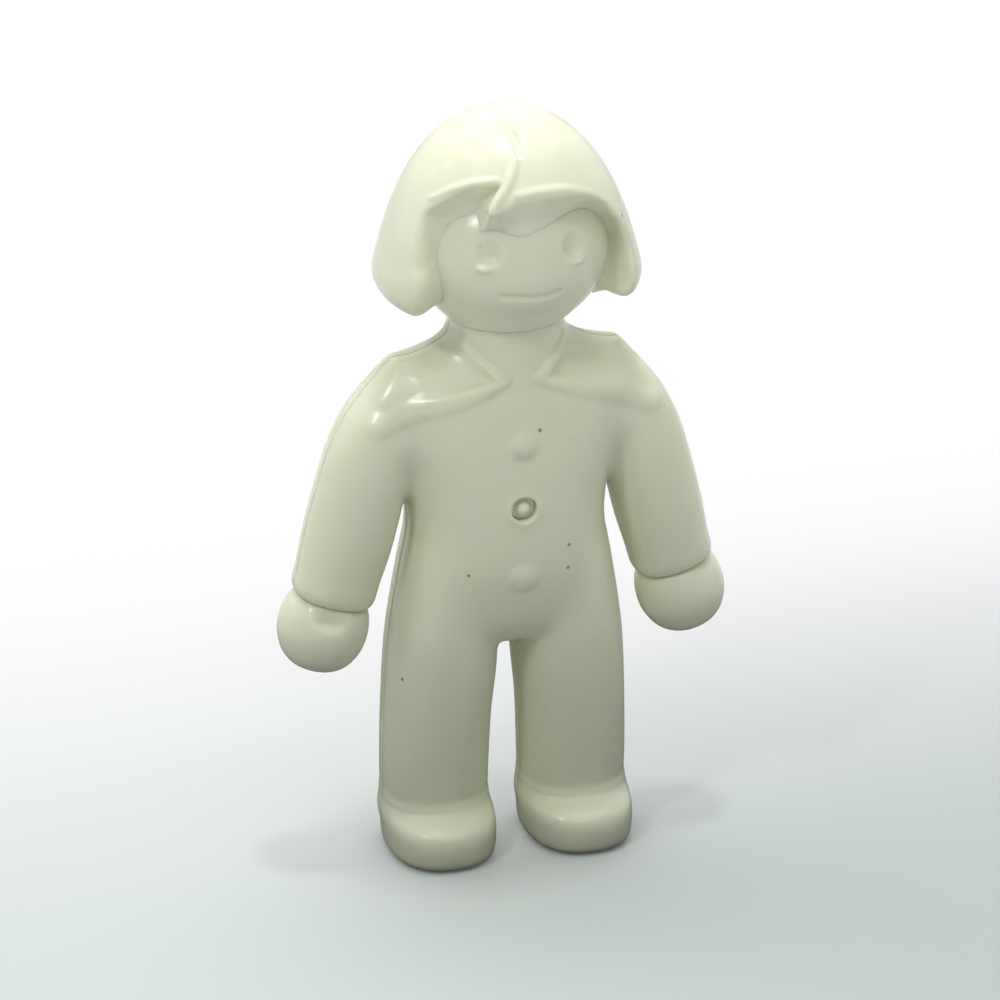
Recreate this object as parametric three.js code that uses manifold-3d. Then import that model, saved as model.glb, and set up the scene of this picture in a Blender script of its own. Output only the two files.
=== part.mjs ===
// A doll about an inch tall, in a buttoned suit, with a bob of hair. Two half-shells make the trunk with
// its arms, legs and shoes. The head turns in the collar, the hands turn in the cuffs, and a pin through
// the belly closes the body. Millimetres, +Z up, the doll faces -Y, its right side is at -X.
import * as THREE from "three";
import { mergeVertices } from "three/addons/utils/BufferGeometryUtils.js";
import Module from "manifold-3d";

const wasm = await Module();
wasm.setup();

// Fits and walls
const WALL = 0.75; // shells, sleeves and trouser legs
const HEAD_WALL = 0.8;
const TURN_GAP = 0.08; // round and under whatever turns
const PRESS_GAP = 0.04; // round whatever is pressed in and stays

// Body
const FORK_HEIGHT = 7.3; // floor to the fork of the legs
const LEG_SPREAD = 2.38; // middle of the body to the middle of a shoe
const SHOULDER_X = 3.6; // upper end of a sleeve's middle line
const SHOULDER_RISE = 9.92; // that end above the fork
const SLEEVE_TILT = 15.8; // degrees, outwards from straight down
const SLEEVE_LENGTH = 8.3;
const SEAT_RISE = 9.2; // floor of the neck's socket above the fork
const THROAT_RADIUS = 1.86; // outside of the socket, where the suit ends
const LAPEL_RADIUS = 0.14; // raised edge of the open collar
const LAPEL_TOP = [1.42, 10.6]; // from the middle, above the fork
const LAPEL_MEETING = [0.06, 9.25];
const FLESH = 2.4; // roundness of trunk and limbs: 2 is an ellipse, more is squarer

// Buttons down the front and the pin that closes the body
const BUTTON_RADIUS = 0.56;
const BUTTON_HEIGHT = 0.14;
const BUTTON_RISES = [2.95, 7.47]; // above the fork
const PIN_RISE = 5.3; // above the fork
const PIN_RADIUS = 0.42;
const PIN_PIP_RADIUS = 0.19;
const PIN_RECESS = 0.1; // face of the pin below the cloth round it
const PIN_BOSS_WALL = 0.5;
const DOWEL_RADIUS = 0.34; // locating dowels on the front shell
const DOWEL_LENGTH = 0.6;
const SHOULDER_DOWEL = [3.25, 8.2]; // from the middle, above the fork
const SHOE_DOWEL_HEIGHT = 1.0;

// Neck and head
const NECK_RADIUS = 1.36;
const NECK_ROOT_RADIUS = 1.26;
const NECK_LENGTH = 1.9;
const STEM_RADIUS = 0.95;
const SHELF = 0.8; // collar floor that the flange hooks under
const FLANGE_RADIUS = 1.35;
const FLANGE_THICKNESS = 0.5;
const HEAD_RISE = 4.3; // middle of the head above the floor of the neck's socket
const EYE_RADIUS = 0.46;
const EYE_SPACING = 2.86;
const EYE_RISE = 0.85; // above the middle of the head
const EYE_DEPTH = 0.12;
const MOUTH_WIDTH = 1.8;
const MOUTH_DROP = 0.72; // its middle, below the middle of the head
const MOUTH_SMILE = 0.08; // how far its corners rise
const MOUTH_GROOVE = 0.08;

// Hair
const HAIR_FORWARD = 0.1;
const CROWN_HOLE_RADIUS = 1.45; // opening in the top of the head
const PEG_LENGTH = 1.3;
const PEG_WALL = 0.6;
const KEY_WIDTH = 0.5;
const KEY_HEIGHT = 0.45;
const PARTING_GROOVE = 0.15;
const LOCK_RADIUS = 0.17; // lock of hair that falls from the parting over the brow
const NAPE_RADIUS = 2.76; // room for the jaw and the neck, below the middle of the head

// Hands
const PEG_RADIUS = 0.5;
const PEG_REACH = 1.35; // cuff to the snap head
const SNAP_RADIUS = 0.68;
const SNAP_LENGTH = 0.5;

// Facets
const ROUND_SIDES = 24;
const BODY_SIDES = 28;
const HEAD_SIDES = 32;
const HAIR_SIDES = 36;

const SUIT = { color: 0xe6e8cf, roughness: 0.42, metalness: 0 };
const SKIN = { color: 0xe8ead2, roughness: 0.4, metalness: 0 };
const HAIR = { color: 0xedefd8, roughness: 0.38, metalness: 0 };

// Trunk rings: height above the fork, half width, half depth
const TRUNK = [
  [0.0, 3.5, 0.9],
  [0.35, 3.8, 1.74],
  [1.1, 3.85, 2.12],
  [2.7, 3.6, 2.3],
  [4.5, 3.38, 2.35],
  [6.15, 3.62, 2.32],
  [7.55, 3.95, 2.26],
  [8.6, 4.1, 2.2],
  [9.2, 3.95, 2.1],
  [9.7, 3.58, 1.84],
  [10.1, 3.05, 1.62],
  [10.4, 2.48, 1.52],
  [10.7, 1.98, 1.46],
];

// Sleeve rings: distance up from the cuff, half width, half depth
const SLEEVE = [
  [0.0, 1.22, 1.18],
  [0.3, 1.36, 1.32],
  [1.0, 1.38, 1.36],
  [2.3, 1.47, 1.43],
  [4.0, 1.48, 1.48],
  [5.2, 1.42, 1.46],
  [6.3, 1.2, 1.35],
  [7.2, 0.84, 1.08],
  [7.9, 0.45, 0.66],
  [8.35, 0.16, 0.25],
];

// Trouser leg rings: share of the fork's height, half width, half depth, lean of the middle line
const LEG = [
  [0.165, 1.72, 1.64, 0.02],
  [0.29, 1.77, 1.72, 0.01],
  [0.425, 1.79, 1.76, 0.0],
  [0.66, 1.8, 1.84, -0.06],
  [0.905, 1.84, 1.94, -0.19],
  [1.11, 1.7, 1.85, -0.3],
];

// Shoe rings: height, half width, front and back
const SHOE = [
  [0.0, 1.55, -2.62, 1.55],
  [0.25, 1.74, -2.85, 1.75],
  [0.85, 1.8, -2.86, 1.8],
  [1.3, 1.77, -2.7, 1.8],
  [1.65, 1.62, -2.28, 1.75],
  [1.95, 1.35, -1.6, 1.6],
];

// Hand rings: distance below the cuff, half width, half depth
const HAND = [
  [2.46, 0.3, 0.28],
  [2.33, 0.72, 0.7],
  [1.98, 1.12, 1.1],
  [1.45, 1.38, 1.34],
  [0.9, 1.43, 1.38],
  [0.38, 1.34, 1.28],
  [0.0, 1.08, 1.04],
];

// Head rings: height above the middle of the head, half width, half depth, how far forward
const HEAD = [
  [-2.9, 0.35, 0.35, 0.0],
  [-2.72, 1.12, 1.12, 0.0],
  [-2.3, 1.84, 1.8, 0.06],
  [-1.4, 2.66, 2.4, 0.28],
  [-0.6, 3.06, 2.66, 0.36],
  [0.3, 3.22, 2.74, 0.35],
  [1.2, 3.02, 2.6, 0.3],
  [2.0, 2.5, 2.18, 0.25],
  [2.5, 1.85, 1.64, 0.2],
  [2.8, 1.05, 0.95, 0.2],
  [2.9, 0.3, 0.3, 0.2],
];
const JAW_RINGS = 3; // head rings that the socket of the neck makes room for

// Hair rings: height above the middle of the head, half width, half depth
const BOB = [
  [-1.62, 3.3, 2.95],
  [-1.45, 3.85, 3.3],
  [-1.1, 4.18, 3.52],
  [-0.6, 4.28, 3.6],
  [0.2, 4.08, 3.6],
  [1.1, 3.8, 3.52],
  [2.1, 3.38, 3.26],
  [2.9, 2.92, 2.88],
  [3.7, 2.25, 2.25],
  [4.3, 1.42, 1.42],
  [4.62, 0.7, 0.68],
  [4.7, 0.2, 0.2],
];
const HEAD_ROUNDNESS = 2;
const HAIR_ROUNDNESS = 2.1;
const HAND_ROUNDNESS = 2.1;

// Opening of the hair round the face, across and above the middle of the head. Its wall leaves the hair
// at the lip and meets the head at the edge. It reaches higher on the doll's right than on the left, where
// the fringe hangs.
const LIP_RIGHT = [
  [-3.0, -2.6], [-3.3, -1.7], [-3.5, -1.2], [-3.58, -0.8], [-3.52, -0.2], [-3.53, 0.39],
  [-3.41, 1.23], [-3.18, 1.92], [-2.67, 2.43], [-2.04, 2.83], [-1.51, 2.96], [-0.96, 3.02],
  [0.5, 2.9], [2.4, 2.2], [3.2, 0.8], [3.4, -0.8], [3.0, -2.6], [0, -3.4],
];
const EDGE_RIGHT = [
  [-2.2, -2.6], [-2.45, -1.9], [-2.5, -1.35], [-2.56, -0.75], [-2.7, -0.13], [-2.77, 0.46],
  [-2.63, 1.02], [-2.28, 1.59], [-1.74, 1.92], [-1.18, 2.15], [-0.4, 2.3], [0.8, 2.2],
  [1.9, 1.7], [2.7, 0.6], [2.7, -0.8], [2.2, -2.6], [0, -3.2],
];
const LIP_LEFT = [
  [3.0, -2.6], [3.3, -1.7], [3.5, -1.2], [3.58, -0.8], [3.5, -0.2], [3.4, 0.4], [3.16, 1.07],
  [2.77, 1.66], [2.32, 2.18], [1.59, 2.49], [0.56, 2.6], [-0.48, 2.54], [-0.84, 2.4], [-1.3, 2.2],
  [-1.9, 1.9], [-2.4, 1.3], [-2.6, 0.2], [-2.7, -1], [-2.6, -2.6], [0, -3.4],
];
const EDGE_LEFT = [
  [2.2, -2.6], [2.5, -1.6], [2.75, -1.0], [2.99, -0.39], [3.08, 0.21], [2.95, 0.76], [2.56, 1.39],
  [1.89, 1.8], [1.11, 1.78], [0.43, 1.59], [-0.44, 1.42], [-1.17, 1.53], [-1.7, 1.4], [-2.1, 0.9],
  [-2.2, 0], [-2.2, -1.2], [-2.1, -2.6], [0, -3.2],
];

// Lock over the brow, and the groove of the parting behind it: across, height above the middle of the head,
// and for the groove also front to back
const LOCK = [[-0.33, 3.72], [-0.48, 3.32], [-0.7, 2.92], [-1.0, 2.56], [-1.24, 2.24]];
const PARTING = [
  [-0.33, -2.3, 3.7], [-0.26, -1.86, 4.03], [-0.4, -1.15, 4.44], [-0.42, 0.06, 4.72], [-0.42, 1.2, 4.5],
];

const seatZ = FORK_HEIGHT + SEAT_RISE;
const headZ = seatZ + HEAD_RISE;
const pinZ = FORK_HEIGHT + PIN_RISE;
const crownZ = headZ + HEAD.at(-1)[0];

function solidOf(geometry) {
  const bare = geometry.clone();
  bare.deleteAttribute("normal");
  bare.deleteAttribute("uv");
  const merged = mergeVertices(bare, 1e-5);
  const index = merged.index.array;
  const corners = [];
  for (let i = 0; i < index.length; i += 3) {
    const [a, b, c] = [index[i], index[i + 1], index[i + 2]];
    if (a !== b && b !== c && c !== a) corners.push(a, b, c);
  }
  const vertProperties = merged.attributes.position.array;
  const triVerts = new Uint32Array(corners);
  return new wasm.Manifold(new wasm.Mesh({ numProp: 3, vertProperties, triVerts }));
}

function geometryOf(solid) {
  const mesh = solid.getMesh();
  const geometry = new THREE.BufferGeometry();
  geometry.setAttribute("position", new THREE.BufferAttribute(new Float32Array(mesh.vertProperties), 3));
  geometry.setIndex(new THREE.BufferAttribute(new Uint32Array(mesh.triVerts), 1));
  return geometry;
}

function join(solids) {
  return solids.reduce((whole, piece) => whole.add(piece));
}

function superellipse(angle, halfWidth, halfDepth, roundness) {
  const reach = (v) => Math.sign(v) * Math.abs(v) ** (2 / roundness);
  return [halfWidth * reach(Math.cos(angle)), halfDepth * reach(Math.sin(angle))];
}

// A closed body through loops of points, each loop going the same way round, with a middle to close each end
function stack(loops, lowMiddle, highMiddle) {
  const sides = loops[0].length;
  const top = (loops.length - 1) * sides;
  const points = [...loops.flat(), lowMiddle, highMiddle];
  const [lowest, highest] = [loops.length * sides, loops.length * sides + 1];
  const corners = [];
  for (let side = 0; side < sides; side++) {
    const next = (side + 1) % sides;
    for (let level = 0; level < loops.length - 1; level++) {
      const a = level * sides + side;
      const b = level * sides + next;
      corners.push(a, b, b + sides, a, b + sides, a + sides);
    }
    corners.push(lowest, next, side, highest, top + side, top + next);
  }
  const geometry = new THREE.BufferGeometry();
  geometry.setAttribute("position", new THREE.Float32BufferAttribute(points.flat(), 3));
  geometry.setIndex(corners);
  return solidOf(geometry);
}

function curveThrough(points, closed = false) {
  return new THREE.CatmullRomCurve3(points.map((p) => new THREE.Vector3(...p)), closed, "catmullrom");
}

// A closed body through rings that climb in z, each {z, x, y, halfWidth, halfDepth}
function loft(rings, { sides = BODY_SIDES, steps = 2, roundness = FLESH } = {}) {
  const middles = curveThrough(rings.map((r) => [r.x, r.y, r.z]));
  const halves = curveThrough(rings.map((r) => [r.halfWidth, r.halfDepth, 0]));
  const levels = (rings.length - 1) * steps;
  const loops = [];
  for (let level = 0; level <= levels; level++) {
    const middle = middles.getPoint(level / levels);
    const half = halves.getPoint(level / levels);
    loops.push(Array.from({ length: sides }, (_, side) => {
      const [x, y] = superellipse((2 * Math.PI * side) / sides, half.x, half.y, roundness);
      return [middle.x + x, middle.y + y, middle.z];
    }));
  }
  const [low, high] = [rings[0], rings.at(-1)];
  return stack(loops, [low.x, low.y, low.z], [high.x, high.y, high.z]);
}

// A turned body about Z from [radius, z] points, lowest first
function turned(profile, sides = ROUND_SIDES) {
  const outline = profile.map(([r, z]) => new THREE.Vector2(r, z));
  return solidOf(new THREE.LatheGeometry(outline, sides).rotateX(Math.PI / 2));
}

function rod(radius, low, high, sides = ROUND_SIDES) {
  return turned([[0, low], [radius, low], [radius, high], [0, high]], sides);
}

// The same rod along Y
function crossRod(radius, front, back, x, z, sides = ROUND_SIDES) {
  const geometry = new THREE.CylinderGeometry(radius, radius, back - front, sides);
  return solidOf(geometry.translate(x, (front + back) / 2, z));
}

function ball(halfWidth, halfDepth, halfHeight, [x, y, z], sides = ROUND_SIDES) {
  const geometry = new THREE.SphereGeometry(1, sides, Math.round(sides / 2)).rotateX(Math.PI / 2);
  return solidOf(geometry.scale(halfWidth, halfDepth, halfHeight).translate(x, y, z));
}

function block(width, depth, height, [x, y, z]) {
  return solidOf(new THREE.BoxGeometry(width, depth, height).translate(x, y, z));
}

// A round stroke along points, to raise a ridge or to cut a groove
function stroke(points, radius) {
  const extrudePath = curveThrough(points);
  const section = new THREE.Shape(new THREE.Path().absarc(0, 0, radius, 0, 2 * Math.PI).getPoints(8).slice(1));
  const steps = 3 * (points.length - 1);
  return solidOf(new THREE.ExtrudeGeometry(section, { steps, bevelEnabled: false, extrudePath }));
}

function trunkRings(inset = 0) {
  return TRUNK.map(([rise, halfWidth, halfDepth]) => ({
    x: 0, y: 0, z: FORK_HEIGHT + rise, halfWidth: halfWidth - inset, halfDepth: halfDepth - inset,
  }));
}

function legRings(side, inset = 0) {
  return LEG.map(([share, halfWidth, halfDepth, lean]) => ({
    x: side * (LEG_SPREAD + lean), y: 0, z: FORK_HEIGHT * share,
    halfWidth: halfWidth - inset, halfDepth: halfDepth - inset,
  }));
}

function shoeRings(side) {
  return SHOE.map(([z, halfWidth, front, back]) => ({
    x: side * LEG_SPREAD, y: (front + back) / 2, z, halfWidth, halfDepth: (back - front) / 2,
  }));
}

function headRings(grow = 0) {
  return HEAD.map(([rise, halfWidth, halfDepth, forward]) => ({
    x: 0, y: -forward, z: headZ + rise, halfWidth: halfWidth + grow, halfDepth: halfDepth + grow,
  }));
}

function bobRings() {
  return BOB.map(([rise, halfWidth, halfDepth]) => ({
    x: 0, y: -HAIR_FORWARD, z: headZ + rise, halfWidth, halfDepth,
  }));
}

// Where the front of a body of rings lies, at a place across and up
function frontOf(rings, x, z, roundness) {
  const level = THREE.MathUtils.clamp(z, rings[0].z, rings.at(-1).z);
  const upper = Math.max(1, rings.findIndex((ring) => ring.z >= level));
  const [low, high] = [rings[upper - 1], rings[upper]];
  const at = (size) => THREE.MathUtils.mapLinear(level, low.z, high.z, low[size], high[size]);
  const across = Math.min(1, Math.abs(x / at("halfWidth")));
  return at("y") - at("halfDepth") * (1 - across ** roundness) ** (1 / roundness);
}

function frontOfTrunk(z, x = 0) {
  return frontOf(trunkRings(), x, z, FLESH);
}

// Frame of an arm: the shoulder end of the sleeve's middle line, with -Z running down the arm
function armMatrix(side) {
  const tilt = new THREE.Matrix4().makeRotationY(-side * THREE.MathUtils.degToRad(SLEEVE_TILT));
  return new THREE.Matrix4().makeTranslation(side * SHOULDER_X, 0, FORK_HEIGHT + SHOULDER_RISE).multiply(tilt);
}

function inArm(solid, side) {
  return solid.transform(armMatrix(side).elements);
}

function sleeve(side) {
  const rings = SLEEVE.map(([up, halfWidth, halfDepth]) => ({
    x: 0, y: 0, z: up - SLEEVE_LENGTH, halfWidth, halfDepth,
  }));
  return inArm(loft(rings, { sides: ROUND_SIDES }), side);
}

// Bore for the hand's peg, with the pocket that its snap head turns in
function wristBore(side) {
  const cuff = -SLEEVE_LENGTH;
  const snap = cuff + PEG_REACH - TURN_GAP;
  const end = snap + SNAP_LENGTH + 2 * TURN_GAP;
  return inArm(turned([
    [0, cuff - 1], [PEG_RADIUS + TURN_GAP, cuff - 1], [PEG_RADIUS + TURN_GAP, snap],
    [SNAP_RADIUS + TURN_GAP, snap], [SNAP_RADIUS + TURN_GAP, end], [0, end],
  ]), side);
}

function bodyHollow() {
  const ceiling = seatZ - SHELF - TURN_GAP - FLANGE_THICKNESS;
  const trunk = trunkRings(WALL).filter((ring) => ring.z < ceiling);
  trunk[0].z += WALL;
  const hollow = loft(trunk, { sides: 20, steps: 1 });
  const legs = [-1, 1].map((side) => {
    const rings = legRings(side, WALL).slice(1);
    return loft(rings, { sides: 16, steps: 1 });
  });
  const chamber = rod(FLANGE_RADIUS + TURN_GAP, trunk.at(-1).z - WALL, seatZ - SHELF - TURN_GAP);
  return join([hollow, ...legs, chamber]);
}

// Socket for the neck: a funnel down to its floor with the hole for the stem, and room above it for the jaw
function neckSocket() {
  const slope = (NECK_RADIUS - NECK_ROOT_RADIUS) / NECK_LENGTH;
  const root = NECK_ROOT_RADIUS + TURN_GAP;
  const floor = seatZ - TURN_GAP;
  const jaw = headRings(TURN_GAP).slice(0, JAW_RINGS);
  const mouth = root + slope * (jaw[0].z - floor);
  const rim = jaw.at(-1);
  return turned([
    [0, floor - SHELF - 1], [STEM_RADIUS + TURN_GAP, floor - SHELF - 1], [STEM_RADIUS + TURN_GAP, floor],
    [root, floor], [mouth, jaw[0].z - TURN_GAP],
    ...jaw.slice(1).map((ring) => [Math.max(mouth, ring.halfWidth), ring.z - TURN_GAP / 2]),
    [2 * rim.halfWidth, rim.z + rim.halfWidth], [0, rim.z + rim.halfWidth],
  ]);
}

// Raised edges of the open collar, from beside the neck to where they meet
function lapels() {
  return [-1, 1].map((side) => {
    const [[topX, topRise], [lowX, lowRise]] = [LAPEL_TOP, LAPEL_MEETING];
    return stroke([0, 0.33, 0.67, 1].map((share) => {
      const x = side * THREE.MathUtils.lerp(topX, lowX, share);
      const z = FORK_HEIGHT + THREE.MathUtils.lerp(topRise, lowRise, share);
      const throat = -Math.sqrt(Math.max(0, THROAT_RADIUS ** 2 - x ** 2));
      return [x, Math.min(frontOfTrunk(z, x), throat), z];
    }), LAPEL_RADIUS);
  });
}

function button(z) {
  return ball(BUTTON_RADIUS, 2 * BUTTON_HEIGHT, BUTTON_RADIUS, [0, frontOfTrunk(z) + BUTTON_HEIGHT, z], 16);
}

function dowelPlaces() {
  const [x, rise] = SHOULDER_DOWEL;
  return [-1, 1].flatMap((side) => [
    [side * x, FORK_HEIGHT + rise],
    [side * LEG_SPREAD, SHOE_DOWEL_HEIGHT],
  ]);
}

function bodyHalves() {
  const skin = join([
    loft(trunkRings()),
    ...[-1, 1].flatMap((side) => [sleeve(side), loft(legRings(side)), loft(shoeRings(side))]),
    ...BUTTON_RISES.map((rise) => button(FORK_HEIGHT + rise)),
    rod(THROAT_RADIUS, seatZ - SHELF, headZ + HEAD[JAW_RINGS - 1][0]),
    ...lapels(),
  ]);
  const belly = frontOfTrunk(pinZ);
  const boss = crossRod(PIN_RADIUS + PIN_BOSS_WALL, belly + WALL / 2, -belly - WALL / 2, 0, pinZ);
  const pinHole = crossRod(PIN_RADIUS + PRESS_GAP, belly - 1, -belly - WALL, 0, pinZ);
  const whole = skin.subtract(bodyHollow()).add(boss).subtract(pinHole).subtract(neckSocket());
  const bored = [-1, 1].reduce((body, side) => body.subtract(wristBore(side)), whole);
  const size = 100;
  let front = bored.intersect(block(size, size, size, [0, -size / 2, 0]));
  let back = bored.intersect(block(size, size, size, [0, size / 2, 0]));
  for (const [x, z] of dowelPlaces()) {
    front = front.add(crossRod(DOWEL_RADIUS, -DOWEL_LENGTH, DOWEL_LENGTH, x, z, 16));
    back = back.subtract(crossRod(DOWEL_RADIUS + PRESS_GAP, -1, DOWEL_LENGTH + PRESS_GAP, x, z, 16));
  }
  return [front, back];
}

function bellyPin() {
  const face = frontOfTrunk(pinZ) + PIN_RECESS;
  const end = -frontOfTrunk(pinZ) - WALL - PRESS_GAP;
  const pip = ball(PIN_PIP_RADIUS, PIN_RECESS, PIN_PIP_RADIUS, [0, face, pinZ], 12);
  return crossRod(PIN_RADIUS, face, end, 0, pinZ).add(pip);
}

// Point on the front of the head at a place across and above its middle
function onFace(x, rise) {
  return [x, frontOf(headRings(), x, headZ + rise, HEAD_ROUNDNESS), headZ + rise];
}

function headLoft(grow) {
  return loft(headRings(grow), { sides: HEAD_SIDES, roundness: HEAD_ROUNDNESS });
}

function headSolid() {
  const flangeTop = seatZ - SHELF - 2 * TURN_GAP;
  const neck = turned([
    [0, flangeTop - FLANGE_THICKNESS], [FLANGE_RADIUS, flangeTop - FLANGE_THICKNESS],
    [FLANGE_RADIUS, flangeTop], [STEM_RADIUS, flangeTop], [STEM_RADIUS, seatZ], [NECK_ROOT_RADIUS, seatZ],
    [NECK_RADIUS, seatZ + NECK_LENGTH], [0, seatZ + NECK_LENGTH],
  ]);
  const inner = loft(headRings(-HEAD_WALL).slice(2, -2), { sides: ROUND_SIDES, roundness: HEAD_ROUNDNESS });
  const crown = rod(CROWN_HOLE_RADIUS, headZ, crownZ + HEAD_WALL);
  const slotReach = CROWN_HOLE_RADIUS + KEY_HEIGHT + PRESS_GAP;
  const slotDepth = PEG_LENGTH + PRESS_GAP;
  const keySlot = block(KEY_WIDTH + 2 * PRESS_GAP, slotReach, 2 * slotDepth, [0, slotReach / 2, crownZ]);
  const eyes = [-1, 1].map((side) => {
    const [x, y, z] = onFace((side * EYE_SPACING) / 2, EYE_RISE);
    return ball(EYE_RADIUS, 2 * EYE_DEPTH, EYE_RADIUS, [x, y - EYE_DEPTH, z], ROUND_SIDES / 2);
  });
  const mouth = stroke([-1, -0.5, 0, 0.5, 1].map((share) => {
    return onFace((share * MOUTH_WIDTH) / 2, MOUTH_SMILE * share ** 2 - MOUTH_DROP);
  }), MOUTH_GROOVE);
  const cuts = [inner, crown, keySlot, ...eyes, mouth];
  return cuts.reduce((head, cut) => head.subtract(cut), headLoft(0).add(neck));
}

// How far an outline round the middle of the face reaches in evenly spaced directions
function reaches(outline) {
  const curve = curveThrough(outline.map(([x, rise]) => [x, rise, 0]), true);
  const polar = curve.getPoints(8 * outline.length).map((p) => [Math.atan2(p.y, p.x), Math.hypot(p.x, p.y)]);
  polar.sort((a, b) => a[0] - b[0]);
  return Array.from({ length: HAIR_SIDES }, (_, side) => {
    const angle = -Math.PI + (2 * Math.PI * (side + 0.5)) / HAIR_SIDES;
    const upper = polar.findIndex(([turn]) => turn >= angle);
    const [low, high] = [polar.at(upper - 1), polar[upper]];
    return [angle, THREE.MathUtils.mapLinear(angle, low[0], high[0], low[1], high[1])];
  });
}

// The room before the face: a wall from its edge on the head to the lip on the hair, going on outwards
function opening(lip, edge) {
  const front = -3 * BOB[0][1];
  const onSurface = (rings, roundness) => ([angle, reach]) => {
    const [x, rise] = [reach * Math.cos(angle), reach * Math.sin(angle)];
    return new THREE.Vector3(x, frontOf(rings, x, headZ + rise, roundness), headZ + rise);
  };
  const edges = reaches(edge).map(onSurface(headRings(), HEAD_ROUNDNESS));
  const lips = reaches(lip).map(onSurface(bobRings(), HAIR_ROUNDNESS));
  const middle = new THREE.Vector3(0, 0, headZ);
  const inside = edges.map((p) => p.clone().lerp(middle, 0.25));
  const outside = lips.map((p, i) => p.clone().lerp(edges[i], -0.5).setY(p.y + front / 20));
  const before = outside.map((p) => new THREE.Vector3(p.x, front, p.z));
  const wall = [0, 0.25, 0.5, 0.75, 1].map((share) => edges.map((p, i) => p.clone().lerp(lips[i], share)));
  const loops = [inside, ...wall, outside, before].map((loop) => loop.map((p) => p.toArray()));
  return stack(loops, [0, -HAIR_FORWARD, headZ], [0, front, headZ]);
}

// Everything on the doll's right of the lock's line
function rightOfLock(shift) {
  const far = 3 * BOB[0][1];
  const line = LOCK.map(([x, rise]) => [x - LOCK_RADIUS * 0.8 + shift, rise]);
  const outline = [
    [-far, far], [line[0][0], far], ...line, [line.at(-1)[0], -far], [-far, -far],
  ].map(([x, rise]) => new THREE.Vector2(x, rise));
  const prism = new THREE.ExtrudeGeometry(new THREE.Shape(outline), { depth: 2 * far, bevelEnabled: false });
  return solidOf(prism.rotateX(Math.PI / 2).translate(0, far, headZ));
}

function hairSolid() {
  const mass = loft(bobRings(), { sides: HAIR_SIDES, roundness: HAIR_ROUNDNESS });
  const right = opening(LIP_RIGHT, EDGE_RIGHT).intersect(rightOfLock(0));
  const left = opening(LIP_LEFT, EDGE_LEFT).subtract(rightOfLock(-2 * LOCK_RADIUS));
  const lock = stroke(LOCK.map(([x, rise]) => {
    return [x, frontOf(bobRings(), x, headZ + rise, HAIR_ROUNDNESS) + LOCK_RADIUS / 2, headZ + rise];
  }), LOCK_RADIUS);
  const nape = rod(NAPE_RADIUS, headZ + 2 * BOB[0][0], headZ, BODY_SIDES);
  const parting = stroke(PARTING.map(([x, y, rise]) => [x, y, headZ + rise]), PARTING_GROOVE);
  const cuts = [right, left, parting, headLoft(PRESS_GAP), nape];
  const shell = cuts.reduce((hair, cut) => hair.subtract(cut), mass.add(lock));
  const tube = rod(CROWN_HOLE_RADIUS - PRESS_GAP, crownZ - PEG_LENGTH, crownZ + HEAD_WALL);
  const bore = rod(CROWN_HOLE_RADIUS - PEG_WALL, crownZ - 2 * PEG_LENGTH, crownZ);
  const keyReach = CROWN_HOLE_RADIUS + KEY_HEIGHT;
  const keyRoot = CROWN_HOLE_RADIUS - PEG_WALL / 2;
  const keyMiddle = [0, (keyReach + keyRoot) / 2, crownZ - PEG_LENGTH / 2];
  const key = block(KEY_WIDTH, keyReach - keyRoot, PEG_LENGTH, keyMiddle);
  return shell.add(tube.add(key).subtract(bore));
}

function handSolid() {
  const top = -SLEEVE_LENGTH - TURN_GAP;
  const rings = HAND.map(([below, halfWidth, halfDepth]) => ({ x: 0, y: 0, z: top - below, halfWidth, halfDepth }));
  const snap = -SLEEVE_LENGTH + PEG_REACH;
  const peg = turned([
    [0, top - PEG_RADIUS], [PEG_RADIUS, top - PEG_RADIUS], [PEG_RADIUS, snap], [SNAP_RADIUS, snap],
    [PEG_RADIUS, snap + SNAP_LENGTH], [0, snap + SNAP_LENGTH],
  ]);
  return loft(rings, { sides: ROUND_SIDES, roundness: HAND_ROUNDNESS }).add(peg);
}

function piece(name, geometry, look) {
  const mesh = new THREE.Mesh(geometry, new THREE.MeshStandardMaterial(look));
  mesh.name = name;
  return mesh;
}

const doll = new THREE.Group();
const [front, back] = bodyHalves();
doll.add(piece("body_front", geometryOf(front), SUIT));
doll.add(piece("body_back", geometryOf(back), SUIT));
doll.add(piece("belly_pin", geometryOf(bellyPin()), SUIT));
doll.add(piece("head", geometryOf(headSolid()), SKIN));
doll.add(piece("hair", geometryOf(hairSolid()), HAIR));
for (const [name, side] of [["hand_right", -1], ["hand_left", 1]]) {
  const hand = piece(name, geometryOf(handSolid()), SKIN);
  hand.applyMatrix4(armMatrix(side));
  doll.add(hand);
}

// The origin lies on the floor under the middle of the outer box
const box = new THREE.Box3().setFromObject(doll, true);
doll.position.y = -(box.min.y + box.max.y) / 2;

export default doll;
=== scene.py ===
"""A moulded ivory plastic doll, an inch tall, in a buttoned suit, with a bob of hair.

Every piece is a signed-distance field in the doll's own millimetres, where the floor is Z = 0, the plane
between the two body shells is Y = 0, the doll faces -Y and its right side is at -X. Each field becomes a
smooth mesh.
"""

import math

import bpy
import numpy as np
from mathutils import Matrix, Vector

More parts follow.
